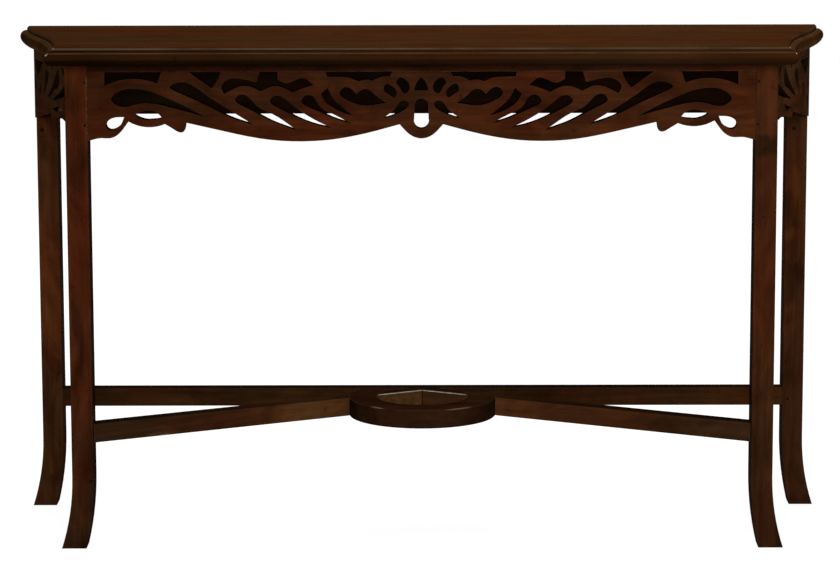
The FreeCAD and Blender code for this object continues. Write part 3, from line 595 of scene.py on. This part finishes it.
# Raw wood inside the ring, its larger share on the left half also painting light: how its scuffs run, and its
# share in and between them and on each half
raw_and_lit_side = (0.085, 0.04, 0.0125)
scuff_stretch = (60.0, 140.0, 140.0)
raw_in_scuffs = 0.6
raw_between_scuffs = 0.15
raw_and_light_on_left = 0.8
raw_on_right = 0.2

# The painted highlight on the arris inside the ring and the dirt in the mitre
arris_highlight_colour = (0.38, 0.355, 0.285)
arris_front = mitre_front + 0.0015
arris_back = mitre_front + 0.0045
arris_low = ring_high.z - 0.0013
arris_high = ring_high.z - 0.0007
highlight_in_scuffs = 0.5
highlight_between_scuffs = 0.5
mitre_dirt = (0.011, 0.0055, 0.0028)
dirt_core = 0.0002
dirt_rim = 0.0012

# Lighter places beside the ring: across, half length and tone; then the scratches
lighter_places = {-1.0: [(-0.19, 0.14, (1.55, 1.55, 1.3)), (-0.135, 0.03, (1.3, 1.2, 1.1))],
               1.0: [(0.14, 0.07, (1.4, 1.3, 1.2))]}
lighter_reach = (0.1, 0.06)
lighter_level = ring_high.z - 0.012
scratch_across = -0.41
scratch_level = ring_low.z + 0.003
scratch_stretch = (30.0, 30.0, 400.0)
scratch_reach = (0.025, 0.03, 0.0035)
scratch_colour = (0.1, 0.065, 0.035)


def darker_to_the_leg(tree, base, place):
    """Takes the colour down on the way from the ring to the leg."""
    off_middle = number_step(tree, "ABSOLUTE", split(tree, place)[0])
    return toned(tree, base, soft_step(tree, off_middle, tone_near_ring, tone_near_leg), legward_tone)


def shade_light_and_wear_inside_ring(tree, base, place):
    """Wear, dirt, painted shade, painted light and a painted highlight on the part of the two rails that
    shows through the ring.
    """
    across, along, level = split(tree, place)
    inside = spot_mask(tree, place, ring_middle, ring_hole_reach, low=0.93)
    off_middle = number_step(tree, "ABSOLUTE", across)
    left_half = rest_of(tree, soft_step(tree, across, low=-0.004, high=0.0))
    scuff_noise = cloudiness(tree, stretched(tree, place, scuff_stretch),
                             scale=1.0, detail=4.0, roughness=0.7)
    scuffs = soft_step(tree, scuff_noise, low=0.36, high=0.66)

    # The sides: painted shade on the right, raw wood in scuffs on the left, where it also paints light
    right_shade_share = product(tree, inside, rest_of(tree, left_half))
    base = toned(tree, base, right_shade_share, right_side_shade_tone)
    raw_and_light_share = product(tree, number_step(tree, "MULTIPLY_ADD", scuffs, raw_in_scuffs, raw_between_scuffs),
                        number_step(tree, "MULTIPLY_ADD", left_half, raw_and_light_on_left, raw_on_right))
    upward = soft_step(tree, split(tree, face_normal(tree))[2], low=0.35, high=0.75)
    raw_and_light_share = product(tree, raw_and_light_share, rest_of(tree, upward))
    base = painted(tree, base, product(tree, inside, raw_and_light_share), raw_and_lit_side)

    # The front arris: a narrow painted highlight along the upper edge
    behind_front = number_step(tree, "MULTIPLY_ADD", off_middle, front_slope, along)
    at_front = rest_of(tree, soft_step(tree, behind_front, arris_front, arris_back))
    at_top = soft_step(tree, level, arris_low, arris_high)
    broken_highlight_share = number_step(tree, "MULTIPLY_ADD", scuffs, highlight_in_scuffs, highlight_between_scuffs)
    arris_highlight_share = product(tree, product(tree, at_front, at_top), broken_highlight_share)
    base = painted(tree, base, product(tree, inside, arris_highlight_share), arris_highlight_colour)

    # The mitre: a dark line of dirt down the middle
    at_mitre = rest_of(tree, soft_step(tree, off_middle, dirt_core, dirt_rim))
    return painted(tree, base, product(tree, inside, at_mitre), mitre_dirt)


def lighter_beside_ring(tree, base, place, across, half_length, tone):
    """Lightens a rail just before it goes under the ring."""
    spot = (across, mitre_front - abs(across) * front_slope, lighter_level)
    return toned(tree, base, spot_mask(tree, place, spot, (half_length, *lighter_reach)), tone)


def scratched_near_leg(tree, base, place):
    """Shoes have scratched the lower edge of the left rail near its leg."""
    spot = (scratch_across, mitre_front + scratch_across * front_slope, scratch_level)
    scratch_run = spot_mask(tree, place, spot, scratch_reach, low=0.4)
    scratch_noise = cloudiness(tree, stretched(tree, place, scratch_stretch),
                               scale=1.0, detail=3.0, roughness=0.6)
    scratches = soft_step(tree, scratch_noise, low=0.48, high=0.6)
    return painted(tree, base, product(tree, scratch_run, scratches), scratch_colour)


for side, name in ((1.0, "right_diagonal_stretcher"), (-1.0, "left_diagonal_stretcher")):
    diagonal_grain = (0.0, 0.0, side * diagonal_slant)
    diagonal_wood = stained_wood(name + "_wood", diagonal_grain, diagonal_deep, diagonal_pale, seed=15 + side,
                                 patchiness=0.52, rub_and_highlight_share=0.7)
    over_colour(diagonal_wood, darker_top_faces, darker_to_the_leg, shade_light_and_wear_inside_ring)
    for across, half_length, tone in lighter_places[side]:
        over_colour(diagonal_wood,
                    partial(lighter_beside_ring, across=across, half_length=half_length, tone=tone))
    if side < 0:
        over_colour(diagonal_wood, scratched_near_leg)
    finish_with(diagonal_wood, name)

# Stretcher ring: a flat ring of stained hardwood, bandsawn, halved over the two
# diagonals, pegged at each lap and screwed from behind the rear stretcher.
ring_deep = (0.0165, 0.0058, 0.0024)
ring_pale = (0.038, 0.014, 0.0056)
# Painted shade on the sawn rim, and painted highlights on its front arris
rim_shade_tone = (0.68, 0.8, 0.88)
rim_highlight_colour = (0.12, 0.083, 0.058)
rim_highlight_low = ring_high.z - 0.0017
rim_highlight_high = ring_high.z - 0.001
rim_highlights = ((-0.073, 0.014), (0.06, 0.026))
rim_highlight_reach = (0.06, 0.06)


def shaded_rim_with_highlights(tree, base, place):
    """Painted shade darkens the sawn rim against the top; short runs of painted highlight lie on its front
    arris.
    """
    shaded_rim = rest_of(tree, soft_step(tree, split(tree, face_normal(tree))[2], low=0.3, high=0.8))
    base = toned(tree, base, shaded_rim, rim_shade_tone)
    at_rim = rest_of(tree, spot_mask(tree, place, ring_middle, (ring_radius,) * 3, low=0.972, high=0.985))
    at_top = soft_step(tree, split(tree, place)[2], rim_highlight_low, rim_highlight_high)
    front_arris = product(tree, at_rim, at_top)
    for across, half_length in rim_highlights:
        highlight_place = (across, ring_low.y, ring_high.z)
        highlight_mask = spot_mask(tree, place, highlight_place, (half_length, *rim_highlight_reach), low=0.4)
        base = painted(tree, base, product(tree, front_arris, highlight_mask), rim_highlight_colour)
    return base


ring_wood = stained_wood("ring_wood", level_grain, ring_deep, ring_pale, seed=18,
                         patchiness=0.5, rub_and_highlight_share=0.8, sheen=0.003)
over_colour(ring_wood, shaded_rim_with_highlights)
finish_with(ring_wood, "stretcher_ring")

# Top: three edge-jointed boards with loose tongues in the joints, moulded along the
# front and both ends. The varnish is worn pale at the moulding's arrises, where the pale
# colour also paints a highlight; painted highlights run along its crowns, painted shade
# and light lie under and on the noses, and the front corners carry pale specks.
plank_deep = (0.0275, 0.0088, 0.0026)
plank_pale = (0.0545, 0.0192, 0.0058)
plank_rub_and_highlight = (0.09, 0.052, 0.028)
board_left_tone = 0.8
top_low, top_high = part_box("top_front_plank")
front_half_width = 0.568

# Levels down the moulding: the ovolo's crown, the nose's crown and the nose's middle
ovolo_line = top_high.z - 0.0031
nose_line = top_high.z - 0.0091
nose_middle = top_high.z - 0.0192
front_run = top_low.y + 0.0155
end_run = front_run + 0.012
front_left_tone = 0.52
front_tone = (0.6, 0.58, 0.54)
# Painted shade under the front nose, darker to the left
under_nose_shade_left_tone = 0.5
under_nose_shade_tone = (0.7, 0.84, 0.8)
end_left_tone = 0.64
end_tone = (1.02, 1.22, 1.3)
# Painted light that lifts the ends' crown and the shade under their nose
end_crown_painted_light = (1.32, 1.36, 1.4)
end_under_painted_light = (3.4, 3.2, 3.4)
moulding_from = top_high.z - 0.0002
moulding_to = top_high.z - 0.0012

# Painted highlights on the two crowns: level, half width and share; broken into runs, fainter at the ends
crown_highlight_colour = (0.068, 0.042, 0.023)
crown_highlight_lines = ((ovolo_line, 0.0015, 0.8), (nose_line, 0.0009, 0.5))
line_core = 0.4
line_rim = 1.4
run_stretch = (14.0, 14.0, 60.0)
share_in_runs = 0.6
share_between_runs = 0.4
share_lost_at_ends = -0.6

# Specks on the front corners: how far inwards, backwards and down, and their half sizes
corner_speck_colour = (0.4, 0.31, 0.22)
speck_places = [(-0.0112, 0.0125, -0.0022), (-0.003, 0.003, -0.0108)]
speck_reaches = {-1.0: (0.0034, 0.0034, 0.003), 1.0: (0.002, 0.002, 0.0018)}


def moulding_tones_shade_and_light(tree, base, place):
    """The moulding is darker along the front and to the left; painted shade lies under the front nose,
    painted light lifts the ends above and under their nose, and painted highlights run along its crowns.
    """
    along, level = split(tree, place)[1:]

    # Along the front
    front = toned(tree, darker_to_the_left(tree, base, place, front_left_tone), 1.0, front_tone)
    # Painted shade under the nose
    under_nose_shade = rest_of(tree, soft_step(tree, level, low=nose_middle - 0.001, high=nose_middle + 0.0015))
    shaded_under = toned(tree, darker_to_the_left(tree, front, place, under_nose_shade_left_tone), 1.0, under_nose_shade_tone)
    front = painted(tree, front, under_nose_shade, shaded_under)

    # Along the ends
    end = toned(tree, darker_to_the_left(tree, base, place, end_left_tone), 1.0, end_tone)
    # Painted light above and under the nose
    lit_above_nose = soft_step(tree, level, low=nose_line - 0.0015, high=nose_line + 0.0005)
    end = toned(tree, end, lit_above_nose, end_crown_painted_light)
    lit_under_end = rest_of(tree, soft_step(tree, level, low=nose_middle - 0.004, high=nose_line - 0.001))
    end = toned(tree, end, lit_under_end, end_under_painted_light)
    at_end = soft_step(tree, along, front_run, end_run)
    moulding = painted(tree, front, at_end, end)

    # The two painted highlight lines
    run_noise = cloudiness(tree, stretched(tree, place, run_stretch), scale=1.0, detail=4.0, roughness=0.65)
    runs = soft_step(tree, run_noise, low=0.3, high=0.62)
    highlight_runs = number_step(tree, "MULTIPLY_ADD", runs, share_in_runs, share_between_runs)
    for line_level, half_width, share in crown_highlight_lines:
        off_line = number_step(tree, "ABSOLUTE", number_step(tree, "SUBTRACT", level, line_level))
        on_line = rest_of(tree, soft_step(tree, off_line, half_width * line_core, half_width * line_rim))
        line_share = number_step(tree, "MULTIPLY_ADD", at_end, share_lost_at_ends * share, share)
        line_mask = product(tree, product(tree, on_line, highlight_runs), line_share)
        moulding = painted(tree, moulding, line_mask, crown_highlight_colour)

    board = darker_to_the_left(tree, base, place, board_left_tone)
    below_top = rest_of(tree, soft_step(tree, level, moulding_to, moulding_from))
    return painted(tree, board, below_top, moulding)


def pale_front_corner_specks(tree, base, place):
    """Pale specks, broken into flakes, on the two front corners."""
    flake_noise = cloudiness(tree, place, scale=330.0, detail=3.0, roughness=0.65)
    flakes = soft_step(tree, flake_noise, low=0.36, high=0.56)
    for side, reach in speck_reaches.items():
        for inward, back, up in speck_places:
            speck = (side * (front_half_width + inward), top_low.y + back, top_high.z + up)
            mask = product(tree, spot_mask(tree, place, speck, reach, low=0.35), flakes)
            base = painted(tree, base, mask, corner_speck_colour)
    return base


for seed, name in enumerate(["top_front_plank", "top_middle_plank", "top_rear_plank"], start=20):
    plank_wood = stained_wood(name + "_wood", level_grain, plank_deep, plank_pale, seed, figure=0.62,
                              mottle=0.95, gloss=0.5, rub_and_highlight=plank_rub_and_highlight, rub_and_highlight_share=0.35, arris=0.0014,
                              sheen=0.004, edge_sheen=0.03)
    over_colour(plank_wood, moulding_tones_shade_and_light)
    if name == "top_front_plank":
        over_colour(plank_wood, pale_front_corner_specks)
    finish_with(plank_wood, name)
tongue_wood = stained_wood("tongue_wood", across_grain, inner_deep, inner_pale, seed=24, gloss=inner_gloss)
finish_with(tongue_wood, "top_tongues")

# Pegs: whittled hardwood pins driven through the tenons, their dark end grain left
# a hair proud of the face.
peg_deep = (0.0055, 0.0028, 0.0015)
peg_pale = (0.016, 0.0075, 0.004)
peg_rub_and_highlight = (0.016, 0.008, 0.004)
peg_wood = stained_wood("peg_end_grain", upright_grain, peg_deep, peg_pale, seed=26, gloss=0.7,
                        rub_and_highlight=peg_rub_and_highlight, rub_and_highlight_share=0.5, arris=0.0006, sheen=0.0, edge_sheen=0.0)
finish_with(peg_wood, "fret_panel_pegs", "fan_panel_pegs", "rear_apron_pegs", "stretcher_pegs", "ring_pegs")

# Screws: countersunk wood screws of plain steel, dulled brown by age, that hold the
# top to its bearers and the ring to the rear stretcher.
bare_steel = (0.34, 0.32, 0.3)
rust_brown = (0.11, 0.055, 0.03)
bare_steel_roughness = 0.38
rust_roughness = 0.4
screw_steel = bpy.data.materials.new("dulled_screw_steel")
screw_steel.use_nodes = True
screw_tree = screw_steel.node_tree
screw_shader = screw_tree.nodes["Principled BSDF"]
screw_shader.inputs["Metallic"].default_value = 1.0
screw_place = screw_tree.nodes.new("ShaderNodeTexCoord").outputs["Object"]
rust_noise = cloudiness(screw_tree, screw_place, scale=420.0, detail=4.0, roughness=0.65)
rust = soft_step(screw_tree, rust_noise, low=0.42, high=0.66)
steel_colour = colour_mix(screw_tree, "MIX", rust, bare_steel, rust_brown)
wire(screw_tree, steel_colour, screw_shader.inputs["Base Color"])
steel_roughness = number_step(screw_tree, "MULTIPLY_ADD", rust, rust_roughness, bare_steel_roughness)
wire(screw_tree, steel_roughness, screw_shader.inputs["Roughness"])
finish_with(screw_steel, "top_screws", "ring_screws")

# Floor: a wide plain pale studio floor that shows white and keeps a faint shadow.
# Only what the camera sees of it is bright; the table gets a softer bounce from it.
floor_radius = 40.0
bounce_grey = (0.45, 0.45, 0.45, 1.0)
shadow_grey = (0.16, 0.16, 0.16, 1.0)
near_white = (0.92, 0.92, 0.92)
far_white = (1.0, 1.0, 1.0)
near_reach = 1.2
far_reach = 3.2
bpy.ops.object.select_all(action="DESELECT")
bpy.ops.mesh.primitive_circle_add(vertices=96, radius=floor_radius, fill_type="NGON",
                                  location=(0.0, 0.0, 0.0))
floor = bpy.context.object
floor.name = "studio_floor"
floor_paint = bpy.data.materials.new("pale_floor")
floor_paint.use_nodes = True
floor_tree = floor_paint.node_tree
floor_tree.nodes.clear()
bounce = floor_tree.nodes.new("ShaderNodeBsdfDiffuse")
bounce.inputs["Color"].default_value = bounce_grey
faint = floor_tree.nodes.new("ShaderNodeBsdfDiffuse")
faint.inputs["Color"].default_value = shadow_grey
bright = floor_tree.nodes.new("ShaderNodeEmission")
floor_place = floor_tree.nodes.new("ShaderNodeTexCoord").outputs["Object"]
far_off = soft_step(floor_tree, vector_step(floor_tree, "LENGTH", floor_place), near_reach, far_reach)
wire(floor_tree, colour_mix(floor_tree, "MIX", far_off, near_white, far_white), bright.inputs["Color"])
shown = floor_tree.nodes.new("ShaderNodeAddShader")
wire(floor_tree, faint.outputs[0], shown.inputs[0])
wire(floor_tree, bright.outputs[0], shown.inputs[1])
ray = floor_tree.nodes.new("ShaderNodeLightPath")
seen = number_step(floor_tree, "MAXIMUM", ray.outputs["Is Camera Ray"], ray.outputs["Is Glossy Ray"])
seen = number_step(floor_tree, "MAXIMUM", seen, ray.outputs["Is Transmission Ray"])
either = floor_tree.nodes.new("ShaderNodeMixShader")
wire(floor_tree, seen, either.inputs["Fac"])
wire(floor_tree, bounce.outputs[0], either.inputs[1])
wire(floor_tree, shown.outputs[0], either.inputs[2])
floor_end = floor_tree.nodes.new("ShaderNodeOutputMaterial")
wire(floor_tree, either.outputs[0], floor_end.inputs["Surface"])
floor.data.materials.append(floor_paint)

# Light: one broad soft lamp in front, low and a little to the right, one overhead,
# a weaker one behind, and a dim even room round them.
room_white = (1.0, 1.0, 1.0, 1.0)
room_strength = 0.03
room = bpy.data.worlds.new("studio_room")
room.use_nodes = True
room_light = room.node_tree.nodes["Background"]
room_light.inputs["Color"].default_value = room_white
room_light.inputs["Strength"].default_value = room_strength
bpy.context.scene.world = room


def soft_lamp(name, place, aim, width, height, watts):
    lamp_data = bpy.data.lights.new(name, "AREA")
    lamp_data.shape = "RECTANGLE"
    lamp_data.size = width
    lamp_data.size_y = height
    lamp_data.energy = watts
    lamp = bpy.data.objects.new(name, lamp_data)
    bpy.context.scene.collection.objects.link(lamp)
    lamp.location = place
    lamp.rotation_euler = (Vector(aim) - Vector(place)).to_track_quat("-Z", "Y").to_euler()


soft_lamp("front_lamp", (0.1, -3.3, 1.5), (0.0, 0.0, 0.6), width=1.5, height=1.1, watts=112.0)
soft_lamp("overhead_lamp", (0.0, -0.2, 4.6), (0.0, 0.0, 0.8), width=2.2, height=1.6, watts=130.0)
soft_lamp("back_lamp", (-0.5, 2.9, 2.9), (0.0, 0.0, 0.4), width=2.2, height=1.4, watts=80.0)

# Camera: at the photograph's viewing angle, in front and a little above the top,
# with a long lens and the photograph's own slight turn and roll.
camera_place = Vector((0.0124, -5.1743, 1.2421))
camera_tilt = math.radians(9.364)
camera_yaw = math.radians(-0.172)
camera_roll = math.radians(-0.13)
photo_width = 840
focal_pixels = 3316.5
sight = Vector((math.sin(camera_yaw) * math.cos(camera_tilt), math.cos(camera_yaw) * math.cos(camera_tilt),
                -math.sin(camera_tilt)))
level_right = Vector((math.cos(camera_yaw), -math.sin(camera_yaw), 0.0))
level_up = level_right.cross(sight)
right_way = level_right * math.cos(camera_roll) + level_up * math.sin(camera_roll)
up_way = level_up * math.cos(camera_roll) - level_right * math.sin(camera_roll)
camera_data = bpy.data.cameras.new("photo_camera")
camera_data.sensor_width = 36.0
camera_data.lens = focal_pixels * camera_data.sensor_width / photo_width
camera_data.clip_end = 200.0
camera = bpy.data.objects.new("photo_camera", camera_data)
bpy.context.scene.collection.objects.link(camera)
turned_axes = Matrix((right_way, up_way, -sight)).transposed().to_4x4()
camera.matrix_world = Matrix.Translation(camera_place) @ turned_axes
bpy.context.scene.camera = camera
bpy.context.scene.view_settings.view_transform = "Standard"

bpy.context.view_layer.update()
